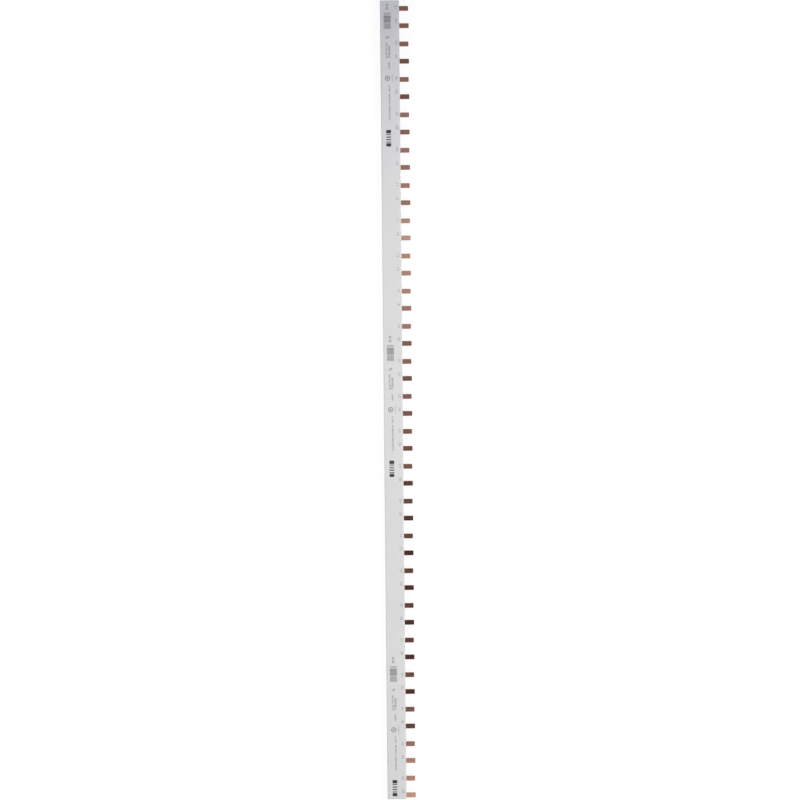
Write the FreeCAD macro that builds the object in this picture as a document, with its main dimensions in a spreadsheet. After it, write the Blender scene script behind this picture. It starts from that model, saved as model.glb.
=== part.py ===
import FreeCAD, Part
import Sketcher
import math
import os

# Two-pole comb busbar with pins, for a row of breakers on the standard 17.8 mm pitch.
# One extruded insulating profile holds two stamped copper rails, one above the other. Their
# pins are cranked to the middle of the thickness, so both poles leave the mouth in one row.
#
# Frame, in millimetres: the bar lies on its broad face, +X runs along it to the end with the
# first pin, the pins point towards -Y and +Z points up out of the printed face. The origin is
# the bottom centre of the whole bar.
#
# In every sketch the mouth of the profile, where the pins come out, lies at Y = 0.

# Driving dimensions
SIZES = {
    # Pin row
    "pin_pitch": 17.8,
    "pins_per_rail": 23,
    "pin_width": 4.9,
    "pin_reach": 9.15,
    "pin_corner_radius": 0.7,
    # The second rail sits a little nearer the first end, and its pins reach further
    "second_rail_shift": 0.5,
    "second_pin_extra": 0.45,
    # Rails
    "rail_thickness": 2.0,
    "web_height": 8.0,
    "crank_lead": 1.2,
    "crank_run": 4.4,
    "bend_radius": 0.8,
    "rail_setback": 0.5,
    # Insulating profile
    "first_pin_margin": 8.0,
    "last_pin_margin": 3.4,
    "side_wall": 1.5,
    "middle_wall": 1.5,
    "back_wall": 1.6,
    "lip_depth": 1.4,
    "crank_room": 8.0,
    "back_corner_radius": 1.4,
    "lip_corner_radius": 0.7,
    "middle_wall_nose": 0.5,
    # Clearances on each side of a rail, in its chamber and in the mouth
    "chamber_clearance": 0.15,
    "mouth_clearance": 0.3,
}

# Sizes worked out from the driving dimensions
THICKNESS = (
    "(2 * Sizes.side_wall + Sizes.middle_wall + 2 * Sizes.rail_thickness + 4 * Sizes.chamber_clearance)"
)
MIDDLE = f"({THICKNESS} / 2)"
CHAMBER_FRONT = "(Sizes.lip_depth + Sizes.crank_room)"
CHAMBER_BACK = f"({CHAMBER_FRONT} + Sizes.web_height + 2 * Sizes.chamber_clearance)"
PROFILE_DEPTH = f"({CHAMBER_BACK} + Sizes.back_wall)"
MOUTH_HALF = "(Sizes.rail_thickness / 2 + Sizes.mouth_clearance)"
LAST_PIN = "((2 * Sizes.pins_per_rail - 1) * Sizes.pin_pitch - Sizes.second_rail_shift)"
BAR_LENGTH = f"(Sizes.first_pin_margin + {LAST_PIN} + Sizes.last_pin_margin)"
PIN_HALF = "(Sizes.pin_width / 2)"
SECOND_REACH = "(Sizes.pin_reach + Sizes.second_pin_extra)"
WEB_FRONT = f"({CHAMBER_FRONT} + Sizes.chamber_clearance)"
WEB_BACK = f"({WEB_FRONT} + Sizes.web_height)"
FIRST_BEND = f"({WEB_FRONT} - Sizes.crank_lead)"
SECOND_BEND = f"({FIRST_BEND} - Sizes.crank_run)"
CRANK_OFFSET = "((Sizes.middle_wall + Sizes.rail_thickness) / 2 + Sizes.chamber_clearance)"
MITRE = f"(Sizes.rail_thickness / 2 * tan(atan({CRANK_OFFSET} / Sizes.crank_run) / 2))"
RAIL_END = f"({BAR_LENGTH} / 2 - Sizes.rail_setback)"
FIRST_PIN_X = f"({BAR_LENGTH} / 2 - Sizes.first_pin_margin)"
SECOND_PIN_X = f"({FIRST_PIN_X} - Sizes.pin_pitch + Sizes.second_rail_shift)"
RAIL_SPAN = "(2 * (Sizes.pins_per_rail - 1) * Sizes.pin_pitch)"

# How far a punch runs past the copper that it cuts
OVERRUN = 2.0


def make_sheet(document):
    """Write the driving dimensions into the spreadsheet, one name and one number a row."""
    sheet = document.addObject("Spreadsheet::Sheet", "Sizes")
    for row, (name, value) in enumerate(SIZES.items(), start=1):
        sheet.set(f"A{row}", name)
        sheet.set(f"B{row}", str(value))
        sheet.setAlias(f"B{row}", name)
    document.recompute()
    return sheet


def origin_feature(body, role):
    """Return one of the body's own origin planes or axes by its role."""
    return next(feature for feature in body.Origin.OriginFeatures if feature.Role == role)


def new_body(document, label):
    """Add a body whose mouth plane is placed so that the whole bar is centred on the origin."""
    body = document.addObject("PartDesign::Body", label)
    body.Label = label
    body.setExpression("Placement.Base.y", f"({SECOND_REACH} - {PROFILE_DEPTH}) / 2")
    return body


def new_sketch(body, name, plane_role):
    """Add a sketch on one of the body's origin planes."""
    sketch = body.newObject("Sketcher::SketchObject", name)
    sketch.AttachmentSupport = [(origin_feature(body, plane_role), "")]
    sketch.MapMode = "FlatFace"
    return sketch


def number(sketch, expression):
    """Return what an expression comes to with the sizes as they are."""
    return float(sketch.evalExpression(expression))


def dimension(sketch, name, constraint, expression):
    """Add a constraint and bind its size to an expression."""
    index = sketch.addConstraint(constraint)
    sketch.renameConstraint(index, name)
    sketch.setExpression(f"Constraints.{name}", expression)


def arc_between(start, end, radius, clockwise):
    """Return the short arc of a radius from one point to another."""
    chord = end - start
    right_hand = FreeCAD.Vector(chord.y, -chord.x, 0).normalize()
    rise = math.sqrt(max(radius**2 - (chord.Length / 2) ** 2, 0.0))
    centre = (start + end) / 2 + right_hand * (rise if clockwise else -rise)
    first, last = (end, start) if clockwise else (start, end)
    angles = [math.atan2(point.y - centre.y, point.x - centre.x) for point in (first, last)]
    if angles[1] < angles[0]:
        angles[1] += 2 * math.pi
    circle = Part.Circle(centre, FreeCAD.Vector(0, 0, 1), radius)
    return Part.ArcOfCircle(circle, angles[0], angles[1])


def draw_outline(sketch, corners, arcs=()):
    """Draw a closed outline whose corners are pairs of expressions.

    arcs maps the number of a side to its radius expression and to whether it runs clockwise;
    every other side is straight.
    """
    arcs = dict(arcs)
    points = [FreeCAD.Vector(number(sketch, across), number(sketch, up), 0) for across, up in corners]
    count = len(points)
    for side, start in enumerate(points):
        end = points[(side + 1) % count]
        if side in arcs:
            radius, clockwise = arcs[side]
            sketch.addGeometry(arc_between(start, end, number(sketch, radius), clockwise), False)
        else:
            sketch.addGeometry(Part.LineSegment(start, end), False)
    # A clockwise arc is stored the other way round, so its ends swap
    starts = [2 if side in arcs and arcs[side][1] else 1 for side in range(count)]
    ends = [3 - start for start in starts]
    for side in range(count):
        following = (side + 1) % count
        sketch.addConstraint(
            Sketcher.Constraint("Coincident", side, ends[side], following, starts[following])
        )
    for side, (across, up) in enumerate(corners):
        for kind, word, expression in (("DistanceX", "across", across), ("DistanceY", "up", up)):
            value = number(sketch, expression)
            constraint = Sketcher.Constraint(kind, side, starts[side], value)
            dimension(sketch, f"{word}_{side}", constraint, expression)
    for side, (radius, _) in arcs.items():
        constraint = Sketcher.Constraint("Radius", side, number(sketch, radius))
        dimension(sketch, f"radius_{side}", constraint, radius)


def pad_along_bar(body, name, sketch, length):
    """Extrude a cross-section along the bar, half each way."""
    pad = body.newObject("PartDesign::Pad", name)
    pad.Profile = sketch
    pad.SideType = "Symmetric"
    pad.setExpression("Length", length)
    body.Document.recompute()
    return pad


def long_edges(feature, section, corners):
    """Name the edges along the bar that run through the given corners of a section sketch."""
    wanted = [section.Geometry[corner].StartPoint for corner in corners]
    names = []
    for index, edge in enumerate(feature.Shape.Edges, start=1):
        first, last = edge.Vertexes[0].Point, edge.Vertexes[-1].Point
        along = abs(first.y - last.y) + abs(first.z - last.z) < 1e-6
        if along and any(abs(first.y - at.x) + abs(first.z - at.y) < 1e-4 for at in wanted):
            names.append(f"Edge{index}")
    return names


def fillet_edges(body, name, feature, edges, radius):
    """Round the named edges of a feature to a radius expression."""
    fillet = body.newObject("PartDesign::Fillet", name)
    fillet.Base = (feature, edges)
    fillet.setExpression("Radius", radius)
    body.Document.recompute()
    return fillet


def punch(body, name, sketch):
    """Cut a plan outline right through the strip, and check that it took copper away."""
    before = body.Tip.Shape.Volume
    pocket = body.newObject("PartDesign::Pocket", name)
    pocket.Profile = sketch
    pocket.Type = "ThroughAll"
    pocket.SideType = "Symmetric"
    body.Document.recompute()
    if not pocket.Shape.Volume < before:
        raise RuntimeError(f"{name} cuts nothing")
    return pocket


# Insulating profile


def make_profile(document):
    """Extrude the profile: a back wall, two chambers, and two lips that leave a slot at the mouth."""
    body = new_body(document, "insulating_profile")
    section = new_sketch(body, "profile_section", "YZ_Plane")
    chamber_roof = f"({THICKNESS} - Sizes.side_wall)"
    wall_top = f"({MIDDLE} + Sizes.middle_wall / 2)"
    wall_foot = f"({MIDDLE} - Sizes.middle_wall / 2)"
    slot_top = f"({MIDDLE} + {MOUTH_HALF})"
    slot_foot = f"({MIDDLE} - {MOUTH_HALF})"
    corners = [
        ("0", "0"),
        (PROFILE_DEPTH, "0"),
        (PROFILE_DEPTH, THICKNESS),
        ("0", THICKNESS),
        ("0", slot_top),
        ("Sizes.lip_depth", slot_top),
        ("Sizes.lip_depth", chamber_roof),
        (CHAMBER_BACK, chamber_roof),
        (CHAMBER_BACK, wall_top),
        (CHAMBER_FRONT, wall_top),
        (CHAMBER_FRONT, wall_foot),
        (CHAMBER_BACK, wall_foot),
        (CHAMBER_BACK, "Sizes.side_wall"),
        ("Sizes.lip_depth", "Sizes.side_wall"),
        ("Sizes.lip_depth", slot_foot),
        ("0", slot_foot),
    ]
    draw_outline(section, corners)
    extrusion = pad_along_bar(body, "profile_extrusion", section, BAR_LENGTH)
    back_edges = long_edges(extrusion, section, [1, 2])
    backs = fillet_edges(body, "back_corners", extrusion, back_edges, "Sizes.back_corner_radius")
    lip_edges = long_edges(backs, section, [0, 3])
    lips = fillet_edges(body, "lip_corners", backs, lip_edges, "Sizes.lip_corner_radius")
    nose_edges = long_edges(lips, section, [9, 10])
    fillet_edges(body, "middle_wall_nose", lips, nose_edges, "Sizes.middle_wall_nose")
    return body


# Copper comb rails


def gap_outline(left, right, tip, left_pin, right_pin):
    """Return the corners and arcs of one punched gap, which rounds the corners of its pins.

    left and right are its sides, tip is the line of the pin ends, and left_pin and right_pin
    say which side has a pin. The other side runs past the end of the strip.
    """
    corner = "Sizes.pin_corner_radius"
    beyond = f"({tip} - {OVERRUN})"
    corners = []
    arcs = {}
    if left_pin:
        arcs[1] = (corner, False)
        corners += [
            (f"({left} - {corner})", beyond),
            (f"({left} - {corner})", tip),
            (left, f"({tip} + {corner})"),
        ]
    else:
        corners += [(left, beyond)]
    corners += [(left, WEB_FRONT), (right, WEB_FRONT)]
    if right_pin:
        arcs[len(corners)] = (corner, False)
        corners += [
            (right, f"({tip} + {corner})"),
            (f"({right} + {corner})", tip),
            (f"({right} + {corner})", beyond),
        ]
    else:
        corners += [(right, beyond)]
    return corners, arcs


def make_rail(document, label, upward, first_pin, reach):
    """Make one rail: crank a strip in section, round its bends, then punch the gaps between pins.

    upward is 1 for the rail of the upper chamber and -1 for the lower one, first_pin is where
    its first pin stands along the bar, and reach is how far its pins leave the mouth.
    """
    body = new_body(document, label)
    section = new_sketch(body, f"{label}_section", "YZ_Plane")
    web_middle = f"({MIDDLE} + {upward} * {CRANK_OFFSET})"
    half = f"({upward} * Sizes.rail_thickness / 2)"
    tip = f"(-{reach})"
    corners = [
        (WEB_BACK, f"({web_middle} + {half})"),
        (f"({FIRST_BEND} - {MITRE})", f"({web_middle} + {half})"),
        (f"({SECOND_BEND} + {MITRE})", f"({MIDDLE} + {half})"),
        (tip, f"({MIDDLE} + {half})"),
        (tip, f"({MIDDLE} - {half})"),
        (f"({SECOND_BEND} - {MITRE})", f"({MIDDLE} - {half})"),
        (f"({FIRST_BEND} + {MITRE})", f"({web_middle} - {half})"),
        (WEB_BACK, f"({web_middle} - {half})"),
    ]
    draw_outline(section, corners)
    strip = pad_along_bar(body, f"{label}_strip", section, f"(2 * {RAIL_END})")
    inside = long_edges(strip, section, [2, 6])
    inner = fillet_edges(body, f"{label}_inner_bends", strip, inside, "Sizes.bend_radius")
    outside = long_edges(inner, section, [1, 5])
    outer_radius = "Sizes.bend_radius + Sizes.rail_thickness"
    fillet_edges(body, f"{label}_outer_bends", inner, outside, outer_radius)

    last_pin = f"({first_pin} - {RAIL_SPAN})"
    strip_end = f"({RAIL_END} + {OVERRUN})"
    gaps = {
        "gap": (f"({first_pin} - 2 * Sizes.pin_pitch + {PIN_HALF})", f"({first_pin} - {PIN_HALF})"),
        "head": (f"({first_pin} + {PIN_HALF})", strip_end),
        "tail": (f"(-{strip_end})", f"({last_pin} - {PIN_HALF})"),
    }
    for name, (left, right) in gaps.items():
        plan = new_sketch(body, f"{label}_{name}_plan", "XY_Plane")
        outline, arcs = gap_outline(left, right, tip, left_pin=name != "tail", right_pin=name != "head")
        draw_outline(plan, outline, arcs)
        pocket = punch(body, f"{label}_{name}", plan)
        if name == "gap":
            repeat_gap(body, pocket, f"{label}_gaps")
    return body


def repeat_gap(body, pocket, name):
    """Repeat the first gap along the bar, one between each two pins of the rail."""
    pattern = body.newObject("PartDesign::LinearPattern", name)
    pattern.Originals = [pocket]
    pattern.Direction = (origin_feature(body, "X_Axis"), [""])
    pattern.Reversed = True
    pattern.Mode = "Spacing"
    pattern.setExpression("Offset", "2 * Sizes.pin_pitch")
    pattern.setExpression("Occurrences", "Sizes.pins_per_rail - 1")
    body.Tip = pattern
    body.Document.recompute()


def check(document, bodies):
    """Stop unless every object computed and every piece is one valid solid."""
    for item in document.Objects:
        if {"Invalid", "Error"} & set(item.State):
            raise RuntimeError(f"{item.Label} did not compute: {item.State}")
    for body in bodies:
        shape = body.Shape
        if shape.isNull() or not shape.isValid() or len(shape.Solids) != 1:
            raise RuntimeError(f"{body.Label} is not one valid solid")
        box = shape.BoundBox
        print(
            f"{body.Label}: volume {shape.Volume:.1f}, x {box.XMin:.2f} to {box.XMax:.2f}, "
            f"y {box.YMin:.2f} to {box.YMax:.2f}, z {box.ZMin:.2f} to {box.ZMax:.2f}"
        )


def main():
    """Build the bar, check it and write one file for each piece."""
    document = FreeCAD.newDocument("CombBusbar")
    make_sheet(document)
    bodies = [
        make_profile(document),
        make_rail(document, "first_pole_rail", 1, FIRST_PIN_X, "Sizes.pin_reach"),
        make_rail(document, "second_pole_rail", -1, SECOND_PIN_X, SECOND_REACH),
    ]
    document.recompute()
    check(document, bodies)
    os.makedirs("parts", exist_ok=True)
    for body in bodies:
        body.Shape.exportStep(f"parts/{body.Label}.step")


main()
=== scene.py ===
"""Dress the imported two-pole comb busbar and light it in a plain studio.

The bar lies on its broad face. +X runs along it to the end with the first pin, the pins point
towards -Y, and +Z points up out of the printed face. The camera looks down on it from far away,
with +X at the top of the picture. Classes hold their sizes in millimetres, and meshes are in
metres, as the frame is.
"""

import logging
import math
from collections.abc import Callable, Sequence
from dataclasses import dataclass
from enum import Enum
from functools import partial

import bmesh
import bpy
from mathutils import Matrix, Vector


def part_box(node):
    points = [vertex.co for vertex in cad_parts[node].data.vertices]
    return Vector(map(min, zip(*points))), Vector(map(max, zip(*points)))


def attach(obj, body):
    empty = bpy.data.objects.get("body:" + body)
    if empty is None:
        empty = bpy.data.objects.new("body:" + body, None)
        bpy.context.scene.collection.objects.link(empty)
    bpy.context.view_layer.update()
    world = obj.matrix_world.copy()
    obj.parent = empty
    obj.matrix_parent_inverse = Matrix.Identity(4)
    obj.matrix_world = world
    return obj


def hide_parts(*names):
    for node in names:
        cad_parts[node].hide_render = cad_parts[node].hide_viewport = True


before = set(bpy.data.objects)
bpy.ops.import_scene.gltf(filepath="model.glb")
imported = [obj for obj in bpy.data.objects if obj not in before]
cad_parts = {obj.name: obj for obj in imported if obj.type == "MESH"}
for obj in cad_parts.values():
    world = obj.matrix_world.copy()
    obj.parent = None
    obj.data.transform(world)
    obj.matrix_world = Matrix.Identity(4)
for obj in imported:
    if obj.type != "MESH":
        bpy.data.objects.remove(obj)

Colour = tuple[float, float, float, float]
Point = tuple[float, float, float]
Loop = list[bmesh.types.BMVert]
AddNode = Callable[..., bpy.types.NodeSocket | None]

MM = 0.001
BODY = "root"
# Points that are closer together than this, in metres, are one point
MERGE_DISTANCE = 1e-7
# Ink is this thick, in millimetres, and starts a little inside the plastic so that no gap shows
INK_DEPTH = 0.03
INK_SINK = 0.005
INK_MIDDLE = Vector((0, 0, (INK_DEPTH / 2 - INK_SINK) * MM))

# Nearly all values of a noise texture lie between these two
USUAL_NOISE = {"From Min": 0.3, "From Max": 0.7}
# A wave texture of scale 1 repeats after this length
WAVE_STEP = math.pi / 10
# Mix and Random Value nodes have several sockets of one name, told apart by their numbers
MIX_A = 6
MIX_B = 7
MIX_RESULT = 2
RANDOM_LOW = 2
RANDOM_HIGH = 3
RANDOM_RESULT = 1

log = logging.getLogger("busbar")


def linear(hex_colour: str) -> Colour:
    """Turn an sRGB hex colour into the linear colour that a shader socket takes.

    Args:
        hex_colour: six hex digits, such as "D9DADA".

    Returns:
        Red, green, blue and an alpha of 1.
    """
    channels = []
    for start in (0, 2, 4):
        value = int(hex_colour[start : start + 2], 16) / 255
        # The sRGB curve is a straight line close to black and a power above it
        channels.append(value / 12.92 if value <= 0.04045 else ((value + 0.055) / 1.055) ** 2.4)
    return (*channels, 1.0)


def plain_grey(level: float) -> Colour:
    """Return the grey that sends back this share of the light, from 0, black, to 1, white."""
    return (level, level, level, 1.0)


def add_node(
    tree: bpy.types.NodeTree,
    kind: str,
    inputs: dict[str | int, object] | None = None,
    output: str | int = 0,
    **settings: object,
) -> bpy.types.NodeSocket | None:
    """Add one node to a tree, with its settings and what its inputs hold or are linked from.

    Args:
        tree: the shader or geometry tree.
        kind: the node's type name.
        inputs: by name or number, a value or the output socket that feeds the input.
        output: the name or number of the output that is wanted.
        settings: the node's own properties by name.

    Returns:
        That output, or None from a node that has no outputs.
    """
    node = tree.nodes.new(kind)
    for name, value in settings.items():
        setattr(node, name, value)
    for key, value in (inputs or {}).items():
        if isinstance(value, bpy.types.NodeSocket):
            tree.links.new(value, node.inputs[key])
        else:
            node.inputs[key].default_value = value
    return node.outputs[output] if node.outputs else None


def new_material(name: str) -> tuple[bpy.types.Material, AddNode]:
    """Make a material with an empty node tree.

    Args:
        name: what the material is called.

    Returns:
        The material and the function that adds a node to its tree.
    """
    material = bpy.data.materials.new(name)
    material.use_nodes = True
    material.node_tree.nodes.clear()
    return material, partial(add_node, material.node_tree)


def new_object(name: str, data: bpy.types.ID) -> bpy.types.Object:
    """Put a mesh, a text, a lamp or a camera in the scene at the origin.

    Args:
        name: the object's name.
        data: what it shows. A mesh has its place in it.

    Returns:
        The new object.
    """
    thing = bpy.data.objects.new(name, data)
    bpy.context.scene.collection.objects.link(thing)
    return thing


def drawn_mesh(name: str, work: bmesh.types.BMesh) -> bpy.types.Mesh:
    """Turn a bmesh into a mesh.

    Args:
        name: the mesh's name.
        work: the bmesh, which is freed.

    Returns:
        The mesh.
    """
    mesh = bpy.data.meshes.new(name)
    work.to_mesh(mesh)
    work.free()
    return mesh


def plain_mesh(piece: bpy.types.Object) -> bpy.types.Mesh:
    """Turn an object with its modifiers into a plain mesh, and take the modifiers off.

    Args:
        piece: the object.

    Returns:
        The mesh, which the object also gets if it is a mesh object.
    """
    bpy.context.view_layer.update()
    ready = piece.evaluated_get(bpy.context.evaluated_depsgraph_get())
    mesh = bpy.data.meshes.new_from_object(ready)
    mesh.name = piece.name
    piece.modifiers.clear()
    if piece.type == "MESH":
        piece.data = mesh
    return mesh


def join(name: str, meshes: list[bpy.types.Mesh], material: bpy.types.Material) -> bpy.types.Mesh:
    """Put several meshes with the same material into one.

    Args:
        name: the new mesh's name.
        meshes: the meshes, each with its place in it.
        material: their material.

    Returns:
        The joined mesh, with that material alone.
    """
    work = bmesh.new()
    for mesh in meshes:
        work.from_mesh(mesh)
    for face in work.faces:
        face.material_index = 0
    joined = drawn_mesh(name, work)
    joined.materials.append(material)
    return joined


def facing(place: Point, aim: Point) -> Matrix:
    """Work out how a lamp or the camera stands to point at something.

    Args:
        place: where it is, in millimetres.
        aim: what it points at, in millimetres.

    Returns:
        Its matrix in metres, with its own X turned as close to the bar's X as it goes.
    """
    middle = Vector(place) * MM
    back = (middle - Vector(aim) * MM).normalized()
    along_bar = Vector((1.0, 0.0, 0.0))
    side = (along_bar - back * along_bar.dot(back)).normalized()
    axes = Matrix((side, back.cross(side), back)).transposed()
    return Matrix.Translation(middle) @ axes.to_4x4()


@dataclass(frozen=True)
class Bar:
    """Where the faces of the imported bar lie, in metres, and how its pins are spaced.

    The spacing is in millimetres, with the values that the part's source has.
    """

    top: float
    back: float
    mouth: float
    head: float
    tail: float
    pin_pitch: float = 17.8
    first_margin: float = 8.0
    second_shift: float = 0.5
    pins: int = 46

    @classmethod
    def from_frame(cls) -> "Bar":
        """Read the profile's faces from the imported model."""
        low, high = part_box("insulating_profile")
        return cls(top=high.z, back=high.y, mouth=low.y, head=high.x, tail=low.x)

    def pin_place(self, number: int) -> float:
        """Return the middle of a pin along the bar, in metres, counted from 0 at the head."""
        shift = self.second_shift if number % 2 else 0.0
        return self.head + (shift - self.first_margin - number * self.pin_pitch) * MM

    def on_top(self, from_head: float, from_back: float) -> Vector:
        """Return a point of the printed face, by its distances in mm from the head and the back."""
        return Vector((self.head - from_head * MM, self.back - from_back * MM, self.top))


# Finishes


@dataclass(frozen=True)
class ExtrudedPvc:
    """Light grey rigid PVC, pulled through a die and sawn to length.

    The die leaves a satin face with faint lines along the bar, and the colour drifts a little
    from place to place. The saw leaves the ends paler, duller and ribbed.
    """

    grey: str = "DDDBDB"
    drift_grey: str = "D7D6D7"
    sawn_grey: str = "E7E6E5"
    roughness: float = 0.46
    # From the smoothest die lines to the dullest, the roughness differs from that by this much
    roughness_spread: tuple[float, float] = (-0.05, 0.06)
    sawn_roughness: float = 0.72
    ior: float = 1.53
    # Real die lines are finer than the picture can show, so they are drawn this far apart
    die_line: float = 0.9
    line_stretch: float = 100.0
    drift: float = 45.0
    # The noises of the lines and of the drift add up to values that lie mostly in this range
    drift_range: tuple[float, float] = (0.75, 1.3)
    saw_mark: float = 0.6
    sawn_depth: float = 0.08
    # A saw mark is this many times as deep as a die line
    saw_relief: float = 3.0
    relief: float = 0.02
    relief_strength: float = 0.25

    def sawn_share(self, add: AddNode, bar: Bar) -> bpy.types.NodeSocket:
        """Add the nodes that tell the sawn ends, 1, from the rest of the surface, 0.

        Args:
            add: adds a node to the material's tree.
            bar: where the sawn ends are.

        Returns:
            The share.
        """
        place = add("ShaderNodeTexCoord", output="Object")
        along = add("ShaderNodeSeparateXYZ", {"Vector": place}, output="X")
        middle = (bar.head + bar.tail) / 2
        from_middle = add("ShaderNodeMath", {0: along, 1: middle}, operation="SUBTRACT")
        reach = add("ShaderNodeMath", {0: from_middle}, operation="ABSOLUTE")
        end = (bar.head - bar.tail) / 2
        depth = self.sawn_depth * MM
        skin = {"Value": reach, "From Min": end - depth, "From Max": end - depth / 2}
        return add("ShaderNodeMapRange", skin)

    def material(self, bar: Bar) -> bpy.types.Material:
        """Build the material.

        Args:
            bar: where the sawn ends are.

        Returns:
            The material.
        """
        material, add = new_material("extruded_grey_pvc")
        place = add("ShaderNodeTexCoord", output="Object")
        along = add("ShaderNodeMapping", {"Vector": place, "Scale": (1 / self.line_stretch, 1.0, 1.0)})
        fine = {"Vector": along, "Scale": 1 / (self.die_line * MM), "Detail": 3.0, "Roughness": 0.6}
        broad = {"Vector": place, "Scale": 1 / (self.drift * MM), "Detail": 4.0, "Roughness": 0.55}
        lines = add("ShaderNodeTexNoise", fine)
        cloud = add("ShaderNodeTexNoise", broad)
        sawn = self.sawn_share(add, bar)

        both = add("ShaderNodeMath", {0: lines, 1: cloud}, operation="ADD")
        low, high = self.drift_range
        drifted = add("ShaderNodeMapRange", {"Value": both, "From Min": low, "From Max": high})
        greys = {"Factor": drifted, MIX_A: linear(self.grey), MIX_B: linear(self.drift_grey)}
        face = add("ShaderNodeMix", greys, output=MIX_RESULT, data_type="RGBA")
        ends = {"Factor": sawn, MIX_A: face, MIX_B: linear(self.sawn_grey)}

        smooth, dull = (self.roughness + step for step in self.roughness_spread)
        spread = {"Value": lines, **USUAL_NOISE, "To Min": smooth, "To Max": dull}
        satin = add("ShaderNodeMapRange", spread)
        rough = {0: sawn, 1: self.sawn_roughness - self.roughness, 2: satin}
        ripple = {"Vector": place, "Scale": WAVE_STEP / (self.saw_mark * MM), "Distortion": 1.5}
        marks = add("ShaderNodeTexWave", ripple, output="Fac", bands_direction="Y")
        cuts = add("ShaderNodeMath", {0: sawn, 1: marks}, operation="MULTIPLY")
        depths = {0: cuts, 1: self.saw_relief, 2: lines}
        height = add("ShaderNodeMath", depths, operation="MULTIPLY_ADD")
        relief = {"Strength": self.relief_strength, "Distance": self.relief * MM, "Height": height}
        surface = {
            "Base Color": add("ShaderNodeMix", ends, output=MIX_RESULT, data_type="RGBA"),
            "Roughness": add("ShaderNodeMath", rough, operation="MULTIPLY_ADD"),
            "IOR": self.ior,
            "Normal": add("ShaderNodeBump", relief),
        }
        add("ShaderNodeOutputMaterial", {"Surface": add("ShaderNodeBsdfPrincipled", surface)})
        return material


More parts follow.
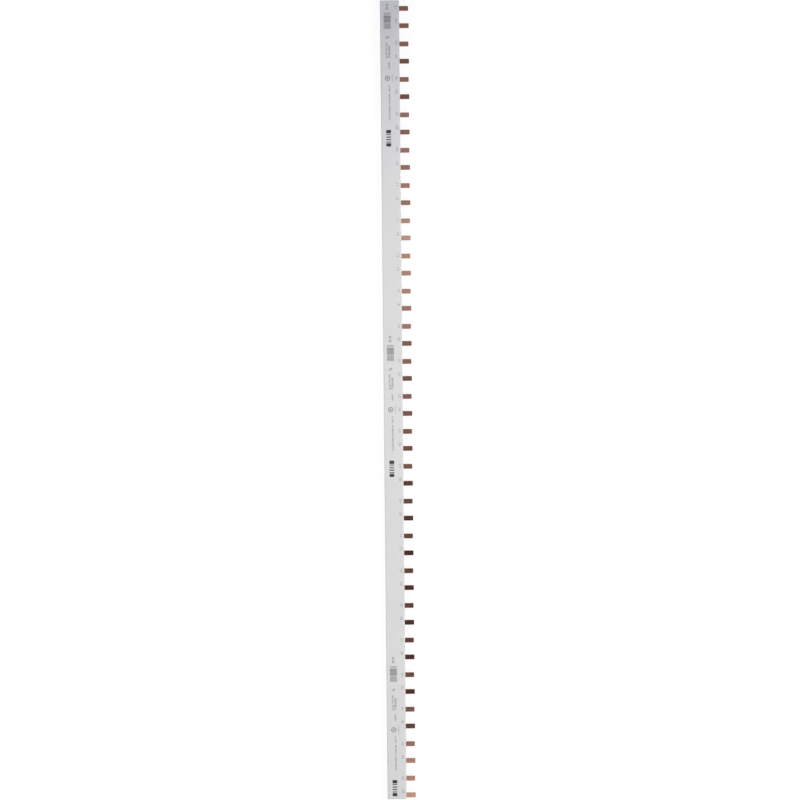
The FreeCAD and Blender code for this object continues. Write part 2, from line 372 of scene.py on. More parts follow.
@dataclass(frozen=True)
class StampedCopper:
    """Bare copper strip, rolled, punched into a comb and handled since.

    Rolling leaves a fine grain along the strip. Air has browned it, and the web inside the plastic
    evenly. Each bare pin is a little brighter or darker than the next, partly from its own tarnish
    and partly as a painted highlight for how it catches the lamps. The punched edges are duller
    than the rolled faces.
    """

    name: str
    bright: str = "E8AC9A"
    tarnished: str = "AF7969"
    cut: str = "C98C77"
    # Each bare pin's share lies between these: partly its own tarnish, partly painted highlight
    tarnish_and_highlight_low: float = 0.2
    tarnish_and_highlight_high: float = 0.55
    roughness: float = 0.25
    # From the cleanest stains to the dullest, the roughness differs from that by this much
    roughness_spread: tuple[float, float] = (-0.04, 0.06)
    cut_roughness: float = 0.42
    # A face is rolled if its normal has at least this much of Z, and punched if it has this little
    rolled_tilt: float = 0.5
    punched_tilt: float = 0.3
    # A pin's own tarnish and painted highlight start this far inside the mouth of the plastic
    shelter: float = 2.0
    # Rolling grain is finer than the picture can show, so it is drawn this far apart
    grain: float = 0.25
    grain_stretch: float = 25.0
    relief: float = 0.01
    relief_strength: float = 0.12
    stain: float = 6.0
    stain_tarnish: float = 0.06
    # The seed sets which pins come out brighter or darker, tarnish and painted highlight together
    seed: float = 426.0

    def tarnish_and_highlight(self, add: AddNode, bar: Bar, stain: bpy.types.NodeSocket) -> bpy.types.NodeSocket:
        """Add the nodes that give each bare pin a tarnish and a painted highlight of its own, with
        stains on it.

        Args:
            add: adds a node to the material's tree.
            bar: how the pins are spaced.
            stain: the noise that stains follow.

        Returns:
            The tarnish with the pins' painted highlight, from 0, bright, to 1.
        """
        place = add("ShaderNodeTexCoord", output="Object")
        along, across = add("ShaderNodeSeparateXYZ", {"Vector": place}).node.outputs[:2]
        first = bar.head - bar.first_margin * MM
        from_first = add("ShaderNodeMath", {0: first, 1: along}, operation="SUBTRACT")
        pitches = add("ShaderNodeMath", {0: from_first, 1: bar.pin_pitch * MM}, operation="DIVIDE")
        number = add("ShaderNodeMath", {0: pitches}, operation="ROUND")
        seeded = add("ShaderNodeMath", {0: number, 1: self.seed}, operation="ADD")
        chance = add("ShaderNodeTexWhiteNoise", {"W": seeded}, noise_dimensions="1D")
        even = (self.tarnish_and_highlight_low + self.tarnish_and_highlight_high) / 2
        low, high = self.tarnish_and_highlight_low - even, self.tarnish_and_highlight_high - even
        # Each pin's own share, partly real tarnish and partly painted highlight
        own_tarnish_and_highlight = add("ShaderNodeMapRange", {"Value": chance, "To Min": low, "To Max": high})
        outward = {"Value": across, "From Min": bar.mouth + self.shelter * MM, "From Max": bar.mouth}
        bare = add("ShaderNodeMapRange", outward)
        tarnish_and_highlight_share = add("ShaderNodeMath", {0: own_tarnish_and_highlight, 1: bare, 2: even}, operation="MULTIPLY_ADD")
        either_way = {"To Min": -self.stain_tarnish, "To Max": self.stain_tarnish}
        spots = add("ShaderNodeMapRange", {"Value": stain, **USUAL_NOISE, **either_way})
        return add("ShaderNodeMath", {0: tarnish_and_highlight_share, 1: spots}, operation="ADD")

    def punched_share(self, add: AddNode) -> bpy.types.NodeSocket:
        """Add the nodes that tell the punched edges, 1, from the rolled faces, 0.

        Args:
            add: adds a node to the material's tree.

        Returns:
            The share.
        """
        normal = add("ShaderNodeTexCoord", output="Normal")
        upward = add("ShaderNodeSeparateXYZ", {"Vector": normal}, output="Z")
        tilt = add("ShaderNodeMath", {0: upward}, operation="ABSOLUTE")
        turned = {"Value": tilt, "From Min": self.rolled_tilt, "From Max": self.punched_tilt}
        return add("ShaderNodeMapRange", turned)

    def material(self, bar: Bar) -> bpy.types.Material:
        """Build the material.

        Args:
            bar: how the pins are spaced, so that each has a tarnish and a painted highlight of its own.

        Returns:
            The material.
        """
        material, add = new_material(self.name)
        place = add("ShaderNodeTexCoord", output="Object")
        along = add("ShaderNodeMapping", {"Vector": place, "Scale": (1 / self.grain_stretch, 1.0, 1.0)})
        fine = {"Vector": along, "Scale": 1 / (self.grain * MM), "Detail": 2.0, "Roughness": 0.7}
        broad = {"Vector": place, "Scale": 1 / (self.stain * MM), "Detail": 5.0, "Roughness": 0.6}
        grain = add("ShaderNodeTexNoise", fine)
        stain = add("ShaderNodeTexNoise", broad)
        tarnish_and_highlight_share = self.tarnish_and_highlight(add, bar, stain)
        punched = self.punched_share(add)

        faces = {"Factor": tarnish_and_highlight_share, MIX_A: linear(self.bright), MIX_B: linear(self.tarnished)}
        rolled = add("ShaderNodeMix", faces, output=MIX_RESULT, data_type="RGBA")
        edges = {"Factor": punched, MIX_A: rolled, MIX_B: linear(self.cut)}

        smooth, dull = (self.roughness + step for step in self.roughness_spread)
        spread = {"Value": stain, **USUAL_NOISE, "To Min": smooth, "To Max": dull}
        satin = add("ShaderNodeMapRange", spread)
        rough = {0: punched, 1: self.cut_roughness - self.roughness, 2: satin}
        relief = {"Strength": self.relief_strength, "Distance": self.relief * MM, "Height": grain}
        surface = {
            "Base Color": add("ShaderNodeMix", edges, output=MIX_RESULT, data_type="RGBA"),
            "Metallic": 1.0,
            "Roughness": add("ShaderNodeMath", rough, operation="MULTIPLY_ADD"),
            "Normal": add("ShaderNodeBump", relief),
        }
        add("ShaderNodeOutputMaterial", {"Surface": add("ShaderNodeBsdfPrincipled", surface)})
        return material


@dataclass(frozen=True)
class PrintingInk:
    """Pigment ink rolled onto the plastic, a little uneven where the roller pressed less."""

    name: str
    dark: str
    thin: str
    roughness: float = 0.5
    # From the fullest patches to the thinnest, the roughness differs from that by this much
    roughness_spread: tuple[float, float] = (-0.05, 0.1)
    patch: float = 1.5
    # The ink thins out between these two values of the patches' noise
    thin_range: tuple[float, float] = (0.4, 0.75)

    def material(self) -> bpy.types.Material:
        """Build the material.

        Returns:
            The material.
        """
        material, add = new_material(self.name)
        place = add("ShaderNodeTexCoord", output="Object")
        uneven = {"Vector": place, "Scale": 1 / (self.patch * MM), "Detail": 4.0, "Roughness": 0.6}
        patch = add("ShaderNodeTexNoise", uneven)
        full, bare = self.thin_range
        worn = add("ShaderNodeMapRange", {"Value": patch, "From Min": full, "From Max": bare})
        shades = {"Factor": worn, MIX_A: linear(self.dark), MIX_B: linear(self.thin)}
        smooth, dull = (self.roughness + step for step in self.roughness_spread)
        satin = {"Value": patch, **USUAL_NOISE, "To Min": smooth, "To Max": dull}
        surface = {
            "Base Color": add("ShaderNodeMix", shades, output=MIX_RESULT, data_type="RGBA"),
            "Roughness": add("ShaderNodeMapRange", satin),
        }
        add("ShaderNodeOutputMaterial", {"Surface": add("ShaderNodeBsdfPrincipled", surface)})
        return material


class Ink(Enum):
    """The inks on the bar, from the black of the blocks to the worn grey of the pin numbers."""

    BLACK = PrintingInk("black_marking_ink", "262627", "444446")
    THIN = PrintingInk("thin_marking_ink", "6C6C70", "8A8A8E")
    WORN = PrintingInk("worn_marking_ink", "8E8F92", "B4B5B7")

    def material(self) -> bpy.types.Material:
        """Return the ink's material, which is made the first time that it is asked for."""
        return bpy.data.materials.get(self.value.name) or self.value.material()


# Plastic and copper


@dataclass
class InsulatingProfile:
    """The extruded profile, which keeps its CAD mesh."""

    bar: Bar
    finish: ExtrudedPvc = ExtrudedPvc()
    node: str = "insulating_profile"

    def dress(self) -> bpy.types.Object:
        """Give the profile its plastic.

        Returns:
            The CAD node's object.
        """
        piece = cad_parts[self.node]
        material = self.finish.material(self.bar)
        for place in piece.material_slots:
            place.material = material
        return piece


@dataclass
class CopperRail:
    """One punched comb rail: its CAD solid with the sharp edges a little rounded.

    The press rounds the edges where the punch goes in, and tumbling dulls the burr on the others.
    """

    bar: Bar
    node: str
    name: str
    finish: StampedCopper
    edge_radius: float = 0.15
    edge_steps: int = 2
    # Faces that meet at more than this angle have a sharp edge between them
    sharp: float = math.radians(35)
    # Triangles that meet at less than this angle are parts of one face
    flat: float = math.radians(0.5)

    def copy_mesh(self) -> bpy.types.Mesh:
        """Copy the CAD solid's mesh, with its loose triangles merged into whole faces.

        Returns:
            The copy.
        """
        work = bmesh.new()
        work.from_mesh(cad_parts[self.node].data)
        bmesh.ops.remove_doubles(work, verts=work.verts, dist=MERGE_DISTANCE)
        bmesh.ops.dissolve_limit(work, angle_limit=self.flat, verts=work.verts, edges=work.edges)
        bmesh.ops.recalc_face_normals(work, faces=work.faces)
        for face in work.faces:
            face.smooth = True
        mesh = drawn_mesh(self.name, work)
        mesh.set_sharp_from_angle(angle=self.sharp)
        return mesh

    def build(self) -> bpy.types.Object:
        """Make the rail in place of its CAD solid.

        Returns:
            The piece.
        """
        piece = new_object(self.name, self.copy_mesh())
        rounding = piece.modifiers.new("rounded_edges", "BEVEL")
        rounding.width = self.edge_radius * MM
        rounding.segments = self.edge_steps
        rounding.limit_method = "ANGLE"
        rounding.angle_limit = self.sharp
        rounding.harden_normals = True
        mesh = plain_mesh(piece)
        mesh.materials.clear()
        mesh.materials.append(self.finish.material(self.bar))
        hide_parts(self.node)
        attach(piece, BODY)
        return piece


# Print


@dataclass(frozen=True)
class StrokeRow:
    """A row of short strokes across the bar, which stands for a bar field or a line of print.

    Sizes are in millimetres. The row starts from_head behind the start of its group and runs
    towards the tail. Its strokes stand between from_back and from_back + height, shortest is the
    least share of that height that one takes, and keep is the share of them that is printed.
    """

    from_head: float
    length: float
    from_back: float
    height: float
    spacing: float
    thinnest: float
    thickest: float
    shortest: float = 1.0
    keep: float = 1.0
    seed: int = 1

    def count(self) -> int:
        """Return how many strokes fit in the row."""
        return max(1, round(self.length / self.spacing))


class Draw(Enum):
    """The random numbers that a stroke gets, each with its own step on from the row's seed."""

    KEEP = 0
    WIDTH = 1
    HEIGHT = 2
    EDGE = 3


class StrokeTree:
    """The Geometry Nodes tree that prints a row of strokes at each point of a carrier."""

    INPUTS = {
        "Count": "NodeSocketInt",
        "Spacing": "NodeSocketFloat",
        "Height": "NodeSocketFloat",
        "Thinnest": "NodeSocketFloat",
        "Thickest": "NodeSocketFloat",
        "Shortest": "NodeSocketFloat",
        "Keep": "NodeSocketFloat",
        "Ink Depth": "NodeSocketFloat",
        "Seed": "NodeSocketInt",
        "Ink": "NodeSocketMaterial",
    }

    def __init__(self) -> None:
        """Build the tree."""
        self.tree = bpy.data.node_groups.new("stroke_row", "GeometryNodeTree")
        sockets = self.tree.interface
        sockets.new_socket("Geometry", in_out="INPUT", socket_type="NodeSocketGeometry")
        for name, kind in self.INPUTS.items():
            sockets.new_socket(name, in_out="INPUT", socket_type=kind)
        sockets.new_socket("Geometry", in_out="OUTPUT", socket_type="NodeSocketGeometry")
        self.add = partial(add_node, self.tree)
        self.given = self.add("NodeGroupInput").node.outputs
        self.build()

    def random(self, low: object, high: object, draw: Draw) -> bpy.types.NodeSocket:
        """Add a random number for each stroke.

        Args:
            low: least value, a number or an output socket.
            high: most value, a number or an output socket.
            draw: which of the stroke's random numbers it is.

        Returns:
            The random number.
        """
        step = float(draw.value)
        seed = self.add("ShaderNodeMath", {0: self.given["Seed"], 1: step}, operation="ADD")
        limits = {RANDOM_LOW: low, RANDOM_HIGH: high, "Seed": seed}
        return self.add("FunctionNodeRandomValue", limits, output=RANDOM_RESULT, data_type="FLOAT")

    def strokes(self) -> bpy.types.NodeSocket:
        """Add the nodes for one row: a line of points, some dropped, and a stroke on each.

        Returns:
            The row's strokes, as real geometry.
        """
        add = self.add
        given = self.given
        back = add("ShaderNodeMath", {0: given["Spacing"], 1: -1.0}, operation="MULTIPLY")
        step = add("ShaderNodeCombineXYZ", {"X": back})
        line = add("GeometryNodeMeshLine", {"Count": given["Count"], "Offset": step}, mode="OFFSET")
        chance = self.random(0.0, 1.0, Draw.KEEP)
        dropped = add("ShaderNodeMath", {0: chance, 1: given["Keep"]}, operation="GREATER_THAN")
        points = {"Geometry": line, "Selection": dropped}
        kept = add("GeometryNodeDeleteGeometry", points, domain="POINT")

        width = self.random(given["Thinnest"], given["Thickest"], Draw.WIDTH)
        share = self.random(given["Shortest"], 1.0, Draw.HEIGHT)
        tall = add("ShaderNodeMath", {0: share, 1: given["Height"]}, operation="MULTIPLY")
        size = add("ShaderNodeCombineXYZ", {"X": width, "Y": tall, "Z": given["Ink Depth"]})
        # A short stroke hangs from one edge of the row or stands on the other
        slack = add("ShaderNodeMath", {0: given["Height"], 1: tall}, operation="SUBTRACT")
        edge = add("ShaderNodeMath", {0: self.random(0.0, 1.0, Draw.EDGE)}, operation="ROUND")
        side = add("ShaderNodeMath", {0: edge, 1: 0.5}, operation="SUBTRACT")
        shift = add("ShaderNodeMath", {0: slack, 1: side}, operation="MULTIPLY")
        aside = add("ShaderNodeCombineXYZ", {"Y": shift})
        moved = add("GeometryNodeSetPosition", {"Geometry": kept, "Offset": aside})

        stroke = add("GeometryNodeMeshCube", {"Size": (1.0, 1.0, 1.0)})
        drawn = {"Points": moved, "Instance": stroke, "Scale": size}
        row = add("GeometryNodeInstanceOnPoints", drawn)
        return add("GeometryNodeRealizeInstances", {"Geometry": row})

    def build(self) -> None:
        """Add the nodes that repeat the row at each point of the carrier, in its ink."""
        given = self.given
        repeated = {"Points": given["Geometry"], "Instance": self.strokes()}
        rows = self.add("GeometryNodeInstanceOnPoints", repeated)
        real = self.add("GeometryNodeRealizeInstances", {"Geometry": rows})
        inked = self.add("GeometryNodeSetMaterial", {"Geometry": real, "Material": given["Ink"]})
        self.add("NodeGroupOutput", {"Geometry": inked})

    def print_row(self, starts: list[Vector], row: StrokeRow, ink: Ink) -> bpy.types.Mesh:
        """Print one row in each group.

        Args:
            starts: where the row starts in each group, in metres, in the middle of its height.
            row: its sizes.
            ink: what it is printed in.

        Returns:
            The strokes of all groups as a plain mesh.
        """
        carrier_mesh = bpy.data.meshes.new("row_starts")
        carrier_mesh.from_pydata([tuple(start) for start in starts], [], [])
        carrier = new_object("row_carrier", carrier_mesh)
        modifier = carrier.modifiers.new("strokes", "NODES")
        modifier.node_group = self.tree
        values = {
            "Count": row.count(),
            "Spacing": row.spacing * MM,
            "Height": row.height * MM,
            "Thinnest": row.thinnest * MM,
            "Thickest": row.thickest * MM,
            "Shortest": row.shortest,
            "Keep": row.keep,
            "Ink Depth": INK_DEPTH * MM,
            "Seed": row.seed,
            "Ink": ink.material(),
        }
        for name, value in values.items():
            modifier[self.tree.interface.items_tree[name].identifier] = value
        mesh = plain_mesh(carrier)
        bpy.data.objects.remove(carrier)
        return mesh


def finish_print(name: str, work: bmesh.types.BMesh, ink: Ink) -> bpy.types.Object:
    """Turn a drawn print into a piece.

    Args:
        name: the piece's name.
        work: its bmesh, which is freed.
        ink: what it is printed in.

    Returns:
        The piece.
    """
    bmesh.ops.remove_doubles(work, verts=work.verts, dist=MERGE_DISTANCE)
    bmesh.ops.recalc_face_normals(work, faces=work.faces)
    mesh = drawn_mesh(name, work)
    mesh.materials.append(ink.material())
    piece = new_object(name, mesh)
    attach(piece, BODY)
    return piece


def draw_walls(work: bmesh.types.BMesh, loops: list[Loop]) -> None:
    """Add the faces between each loop of points and the next.

    Args:
        work: the bmesh.
        loops: loops with the same number of points.
    """
    for first, second in zip(loops, loops[1:]):
        for corner in range(len(first)):
            following = (corner + 1) % len(first)
            work.faces.new((first[corner], first[following], second[following], second[corner]))


def ink_loops(work: bmesh.types.BMesh, outline: list[Vector]) -> tuple[Loop, Loop]:
    """Add an outline at the foot of the ink and again at its top.

    Args:
        work: the bmesh.
        outline: its corners in order on the printed face, in metres.

    Returns:
        The points at the foot and the points at the top.
    """
    foot = Vector((0, 0, -INK_SINK * MM))
    rise = Vector((0, 0, (INK_DEPTH - INK_SINK) * MM))
    low = [work.verts.new(point + foot) for point in outline]
    high = [work.verts.new(point + rise) for point in outline]
    return low, high


def draw_plate(work: bmesh.types.BMesh, outline: list[Vector]) -> None:
    """Add a thin closed plate of ink.

    Args:
        work: the bmesh.
        outline: its corners in order on the printed face, in metres.
    """
    low, high = ink_loops(work, outline)
    work.faces.new(low[::-1])
    work.faces.new(high)
    draw_walls(work, [low, high])


@dataclass(frozen=True)
class RoundMark:
    """A printed ring, or a dot where its inner radius is 0. Sizes are in millimetres."""

    from_head: float
    from_back: float
    radius: float
    inner_radius: float = 0.0
    sides: int = 32

    def draw(self, work: bmesh.types.BMesh, bar: Bar, start: float) -> None:
        """Add the mark to a bmesh.

        Args:
            work: the bmesh.
            bar: where the printed face is.
            start: the start of its group, in millimetres from the head.
        """
        centre = bar.on_top(start + self.from_head, self.from_back)
        turns = [2 * math.pi * side / self.sides for side in range(self.sides)]
        rays = [Vector((math.cos(turn), math.sin(turn), 0)) for turn in turns]
        outer = [centre + ray * self.radius * MM for ray in rays]
        inner = [centre + ray * self.inner_radius * MM for ray in rays]
        if not self.inner_radius:
            draw_plate(work, outer)
            return
        low, high = ink_loops(work, outer)
        inner_low, inner_high = ink_loops(work, inner)
        draw_walls(work, [low, high, inner_high, inner_low, low])


@dataclass(frozen=True)
class PlainBlock:
    """A printed rectangle with rounded corners. Sizes are in millimetres."""

    from_head: float
    length: float
    from_back: float = 5.2
    height: float = 4.8
    corner: float = 0.35
    corner_steps: int = 5

    def draw(self, work: bmesh.types.BMesh, bar: Bar, start: float) -> None:
        """Add the block to a bmesh.

        Args:
            work: the bmesh.
            bar: where the printed face is.
            start: the start of its group, in millimetres from the head.
        """
        centre = bar.on_top(start + self.from_head + self.length / 2, self.from_back + self.height / 2)
        across = self.length / 2 - self.corner
        up = self.height / 2 - self.corner
        outline = []
        for quarter, (side_x, side_y) in enumerate(((1, 1), (-1, 1), (-1, -1), (1, -1))):
            middle = centre + Vector((side_x * across, side_y * up, 0)) * MM
            for step in range(self.corner_steps + 1):
                turn = (quarter + step / self.corner_steps) * math.pi / 2
                outline.append(middle + Vector((math.cos(turn), math.sin(turn), 0)) * self.corner * MM)
        draw_plate(work, outline)


@dataclass
class PrintedGroups:
    """The print that repeats along the bar: bar fields, lines of strokes, rings and plain blocks.

    A row's numbers are its from_head, length, from_back, height, spacing, thinnest, thickest,
    shortest and keep.
    """

    bar: Bar
    group_starts: tuple[float, ...] = (0.0, 334.6, 662.3)
    bar_fields: tuple[StrokeRow, ...] = (
        StrokeRow(12.6, 2.6, 3.6, 7.2, 0.9, 0.15, 0.3, seed=2),
        StrokeRow(15.6, 7.0, 3.6, 7.2, 0.62, 0.25, 0.44, seed=5),
        StrokeRow(22.7, 2.4, 3.8, 6.8, 0.8, 0.2, 0.4, seed=8),
        StrokeRow(25.2, 3.8, 3.6, 7.2, 0.66, 0.17, 0.38, seed=11),
    )
    lines: tuple[StrokeRow, ...] = (
        StrokeRow(36.0, 2.8, 5.2, 3.8, 0.7, 0.14, 0.3, 0.5, seed=13),
        StrokeRow(42.4, 15.6, 5.1, 2.1, 0.52, 0.13, 0.3, 0.5, 0.85, seed=17),
        StrokeRow(45.9, 12.0, 7.8, 2.3, 0.52, 0.15, 0.32, 0.5, 0.85, seed=19),
        StrokeRow(62.2, 7.2, 8.0, 1.8, 0.5, 0.12, 0.26, 0.45, 0.9, seed=23),
        StrokeRow(84.8, 7.0, 8.0, 1.8, 0.5, 0.12, 0.26, 0.45, 0.9, seed=29),
        StrokeRow(93.8, 26.4, 8.1, 1.7, 0.52, 0.14, 0.28, 0.55, 0.9, seed=31),
    )
    faint_lines: tuple[StrokeRow, ...] = (
        StrokeRow(73.5, 9.5, 11.0, 1.6, 0.6, 0.1, 0.22, 0.5, 0.85, seed=37),
    )
    round_marks: tuple[RoundMark, ...] = (
        RoundMark(from_head=4.6, from_back=7.0, radius=1.3, inner_radius=0.75),
        RoundMark(from_head=8.2, from_back=7.0, radius=1.3, inner_radius=0.75),
        RoundMark(from_head=78.0, from_back=7.0, radius=2.6, inner_radius=1.9),
        RoundMark(from_head=78.0, from_back=7.0, radius=0.9),
    )
    plain_blocks: tuple[PlainBlock, ...] = (
        PlainBlock(from_head=129.9, length=3.4),
        PlainBlock(from_head=134.1, length=0.9),
        PlainBlock(from_head=136.6, length=1.1),
        PlainBlock(from_head=139.1, length=1.1),
        PlainBlock(from_head=141.7, length=0.9),
        PlainBlock(from_head=143.3, length=3.3),
    )

    def row_starts(self, row: StrokeRow) -> list[Vector]:
        """Work out where a row starts in each group.

        Args:
            row: its sizes.

        Returns:
            The starts in metres, in the middle of the row's height and of the ink's.
        """
        middle = row.from_back + row.height / 2
        places = [start + row.from_head for start in self.group_starts]
        return [self.bar.on_top(place, middle) + INK_MIDDLE for place in places]

    def print_rows(
        self, name: str, tree: StrokeTree, rows: tuple[StrokeRow, ...], ink: Ink
    ) -> bpy.types.Object:
        """Print several rows in each group as one piece.

        Args:
            name: the piece's name.
            tree: the tree that prints a row.
            rows: their sizes.
            ink: what they are printed in.

        Returns:
            The piece.
        """
        meshes = [tree.print_row(self.row_starts(row), row, ink) for row in rows]
        piece = new_object(name, join(name, meshes, ink.material()))
        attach(piece, BODY)
        return piece

    def print_marks(
        self, name: str, marks: Sequence[RoundMark | PlainBlock], ink: Ink
    ) -> bpy.types.Object:
        """Print several drawn marks in each group as one piece.

        Args:
            name: the piece's name.
            marks: the marks.
            ink: what they are printed in.

        Returns:
            The piece.
        """
        work = bmesh.new()
        for start in self.group_starts:
            for mark in marks:
                mark.draw(work, self.bar, start)
        return finish_print(name, work, ink)

    def build(self) -> list[bpy.types.Object]:
        """Print every group.

        Returns:
            The printed pieces.
        """
        tree = StrokeTree()
        return [
            self.print_rows("bar_fields", tree, self.bar_fields, Ink.BLACK),
            self.print_rows("stroke_lines", tree, self.lines, Ink.BLACK),
            self.print_rows("faint_stroke_lines", tree, self.faint_lines, Ink.THIN),
            self.print_marks("round_marks", self.round_marks, Ink.THIN),
            self.print_marks("plain_blocks", self.plain_blocks, Ink.BLACK),
        ]


@dataclass
class PinNumbers:
    """A plain number beside each pin, printed faintly and read along the bar."""

    bar: Bar
    height: float = 2.5
    # A digit is this share of its font's size
    digit_share: float = 0.714
    curve_steps: int = 3
    from_back: float = 15.8
    stretch: float = 1.25
    # The first and the second rail's numbers lie this far nearer the head than their pins
    first_shift: float = 1.0
    second_shift: float = 4.7

    def number_mesh(self, number: int) -> bpy.types.Mesh:
        """Make one number as a thin solid round the origin.

        Args:
            number: the number.

        Returns:
            Its mesh.
        """
        curve = bpy.data.curves.new("number", "FONT")
        curve.body = f"{number:02d}"
        curve.align_x = "CENTER"
        curve.align_y = "CENTER"
        curve.size = self.height / self.digit_share * MM
        curve.extrude = INK_DEPTH / 2 * MM
        curve.resolution_u = self.curve_steps
        text = new_object("number_text", curve)
        mesh = plain_mesh(text)
        bpy.data.objects.remove(text)
        return mesh

    def place(self, number: int) -> Matrix:
        """Work out where a number goes and how it is turned, to read along the bar.

        Args:
            number: which pin it is for, counted from 0 at the head.

        Returns:
            The matrix that takes the number's mesh there.
        """
        shift = self.second_shift if number % 2 else self.first_shift
        from_head = (self.bar.head - self.bar.pin_place(number)) / MM - shift
        middle = self.bar.on_top(from_head, self.from_back) + INK_MIDDLE
        turn = Matrix.Rotation(math.pi, 4, "Z")
        stretch = Matrix.Diagonal((self.stretch, 1.0, 1.0, 1.0))
        return Matrix.Translation(middle) @ turn @ stretch

    def build(self) -> bpy.types.Object:
        """Print all the numbers as one piece.

        Returns:
            The piece.
        """
        work = bmesh.new()
        for number in range(self.bar.pins):
            mesh = self.number_mesh(number + 1)
            mesh.transform(self.place(number))
            work.from_mesh(mesh)
        return finish_print("pin_numbers", work, Ink.WORN)


# Studio


@dataclass(frozen=True)
class SoftBox:
    """A rectangular lamp. Places and sizes are in millimetres.

    glow is how bright its face is, where 1 is white, and the tint is an sRGB hex colour.
    """

    name: str
    place: Point
    aim: Point
    along: float
    across: float
    glow: float
    tint: str = "FFFFFF"

    def build(self) -> None:
        """Hang the lamp. It lights the scene but doesn't show in it."""
        lamp = bpy.data.lights.new(self.name, "AREA")
        lamp.shape = "RECTANGLE"
        lamp.size = self.along * MM
        lamp.size_y = self.across * MM
        # The face of an area lamp is as bright as its power over pi times its area
        lamp.energy = self.glow * math.pi * lamp.size * lamp.size_y
        lamp.color = linear(self.tint)[:3]
        stand = new_object(self.name, lamp)
        stand.visible_camera = False
        stand.matrix_world = facing(self.place, self.aim)


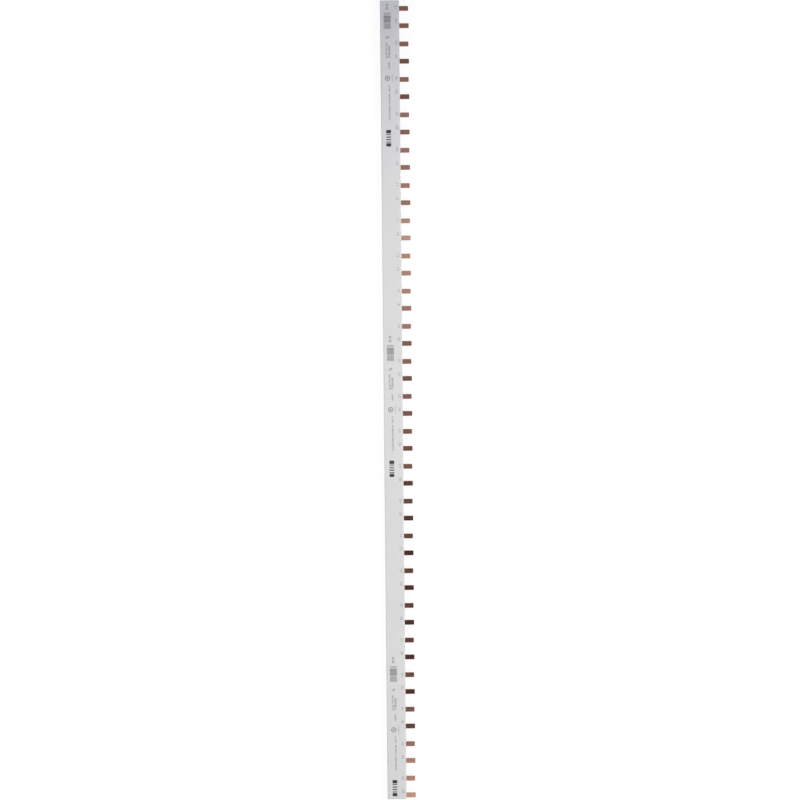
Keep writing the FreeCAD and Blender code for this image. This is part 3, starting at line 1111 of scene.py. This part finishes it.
@dataclass
class Studio:
    """The plain pale studio: floor, surroundings, soft boxes and camera.

    Sizes and places are in millimetres. A box has its place and aim, its length along and across
    the bar, its glow and its tint.
    """

    bar: Bar
    camera_place: Point = (189.7, 0.0, 3000.0)
    camera_aim: Point = (2.48, -2.08, 0.0)
    # In degrees. A quarter turn puts the bar upright, and the rest is the photo's own tilt
    camera_roll: float = -90.54
    lens: float = 132.96
    sensor: float = 36.0
    # The camera shows what lies between these two distances
    nearest: float = 50.0
    farthest: float = 50_000.0
    # The room lights the bar this much, and shows white to the camera alone
    surround: float = 0.09
    floor_half: float = 4000.0
    # Paper of this grey lights the bar from below. The camera and mirrors see paper that glows by
    # itself and sends back only a small share of the light on it, so that the shadow is faint
    paper: float = 0.86
    floor_share: float = 0.12
    # The glow is dimmed to this beside the bar, a painted shade, and rises to white between these
    # distances, from the bar's axis or its ends
    painted_shade_glow: float = 0.9
    painted_shade_reach: tuple[float, float] = (18.0, 60.0)
    # The copper mirrors the middle and tail boxes, which are a little cool, so its highlights pale
    boxes: tuple[SoftBox, ...] = (
        SoftBox("mouth_side_box", (-46, -170, 150), (-46, 0, 0), 940, 160, 2.46),
        SoftBox("back_side_box", (-46, 170, 150), (-46, 0, 0), 940, 160, 1.64),
        SoftBox("middle_box", (155, 0, 500), (155, 0, 0), 200, 400, 0.46, "E0FFFD"),
        SoftBox("head_box", (180, 0, 600), (180, 0, 0), 610, 400, 0.2),
        SoftBox("head_end_box", (520, 0, 200), (400, 0, 0), 120, 200, 1.05, "B4C0FF"),
        SoftBox("tail_box", (-852, 0, 700), (-852, 0, 0), 700, 240, 1.08, "F0FFFC"),
        SoftBox("tail_end_box", (-520, 0, 200), (-400, 0, 0), 120, 200, 0.7),
    )

    def floor_glow_with_painted_shade(self, add: AddNode) -> bpy.types.NodeSocket:
        """Add the nodes that make the floor glow less close to the bar, a painted shade round it.

        Args:
            add: adds a node to the floor's material.

        Returns:
            The strength of the glow.
        """
        place = add("ShaderNodeTexCoord", output="Object")
        along, across = add("ShaderNodeSeparateXYZ", {"Vector": place}).node.outputs[:2]
        reach = add("ShaderNodeMath", {0: along}, operation="ABSOLUTE")
        past_end = add("ShaderNodeMath", {0: reach, 1: self.bar.head}, operation="SUBTRACT")
        beside = add("ShaderNodeMath", {0: across}, operation="ABSOLUTE")
        away = add("ShaderNodeMath", {0: beside, 1: past_end}, operation="MAXIMUM")
        near, far = (distance * MM for distance in self.painted_shade_reach)
        # Painted shade: the glow is lower near the bar and rises away from it
        rise = {"Value": away, "From Min": near, "From Max": far, "To Min": self.painted_shade_glow}
        return add("ShaderNodeMapRange", rise)

    def floor_paper(self) -> bpy.types.Material:
        """Build the floor's material: plain paper to the bar, and white paper to the camera, dimmed by
        a painted shade beside the bar.

        Returns:
            The material.
        """
        material, add = new_material("white_background_paper")
        paper = add("ShaderNodeBsdfDiffuse", {"Color": plain_grey(self.paper)})
        glow = add("ShaderNodeEmission", {"Strength": self.floor_glow_with_painted_shade(add)})
        faint = add("ShaderNodeBsdfDiffuse", {"Color": plain_grey(self.floor_share)})
        white = add("ShaderNodeAddShader", {0: glow, 1: faint})
        rays = add("ShaderNodeLightPath").node.outputs
        straight = {0: rays["Is Camera Ray"], 1: rays["Is Glossy Ray"]}
        mirrored = add("ShaderNodeMath", straight, operation="MAXIMUM")
        through = {0: mirrored, 1: rays["Is Transmission Ray"]}
        seen = add("ShaderNodeMath", through, operation="MAXIMUM")
        either = add("ShaderNodeMixShader", {"Fac": seen, 1: paper, 2: white})
        add("ShaderNodeOutputMaterial", {"Surface": either})
        return material

    def build_floor(self) -> None:
        """Lay the floor of white paper, which shows only a faint shadow, partly real and partly painted
        shade beside the bar.
        """
        work = bmesh.new()
        bmesh.ops.create_grid(work, x_segments=4, y_segments=4, size=self.floor_half * MM)
        floor = new_object("studio_floor", drawn_mesh("studio_floor", work))
        floor.data.materials.append(self.floor_paper())

    def build_surround(self) -> None:
        """Surround the scene with a dim room that the camera sees as white."""
        world = bpy.data.worlds.new("studio")
        bpy.context.scene.world = world
        world.use_nodes = True
        world.node_tree.nodes.clear()
        add = partial(add_node, world.node_tree)
        white = plain_grey(1.0)
        room = add("ShaderNodeBackground", {"Color": white, "Strength": self.surround})
        backdrop = add("ShaderNodeBackground", {"Color": white, "Strength": 1.0})
        seen = add("ShaderNodeLightPath", output="Is Camera Ray")
        either = add("ShaderNodeMixShader", {"Fac": seen, 1: room, 2: backdrop})
        add("ShaderNodeOutputWorld", {"Surface": either})

    def build_camera(self) -> None:
        """Set the camera above the bar, with the head of the bar at the top of the picture."""
        data = bpy.data.cameras.new("camera")
        data.sensor_width = self.sensor
        data.lens = self.lens
        data.clip_start = self.nearest * MM
        data.clip_end = self.farthest * MM
        camera = new_object("camera", data)
        roll = Matrix.Rotation(math.radians(self.camera_roll), 4, "Z")
        camera.matrix_world = facing(self.camera_place, self.camera_aim) @ roll
        bpy.context.scene.camera = camera

    def build(self) -> None:
        """Set the whole studio up."""
        bpy.context.scene.view_settings.view_transform = "Standard"
        self.build_surround()
        self.build_floor()
        for box in self.boxes:
            box.build()
        self.build_camera()


def main() -> None:
    """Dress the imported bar, print it and set up the studio."""
    logging.basicConfig(level=logging.INFO, format="%(name)s: %(message)s")
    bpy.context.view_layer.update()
    bar = Bar.from_frame()
    # Each rail's pins differ in tarnish and painted highlight, the second rail's more widely
    first = StampedCopper("rolled_copper_of_first_rail")
    second = StampedCopper(
        "rolled_copper_of_second_rail",
        tarnished="AF7C6C",
        tarnish_and_highlight_low=0.05,
        tarnish_and_highlight_high=0.85,
        roughness=0.17,
        seed=6023.0,
    )
    pieces = [
        InsulatingProfile(bar).dress(),
        CopperRail(bar, "first_pole_rail", "first_copper_comb", first).build(),
        CopperRail(bar, "second_pole_rail", "second_copper_comb", second).build(),
        *PrintedGroups(bar).build(),
        PinNumbers(bar).build(),
    ]
    for piece in pieces:
        triangles = sum(len(polygon.vertices) - 2 for polygon in piece.data.polygons)
        log.info("%s: %s, %d triangles", piece.name, piece.active_material.name, triangles)
    studio = Studio(bar)
    studio.build()
    log.info("studio: floor, surroundings, camera and %d soft boxes", len(studio.boxes))


if __name__ == "__main__":
    main()
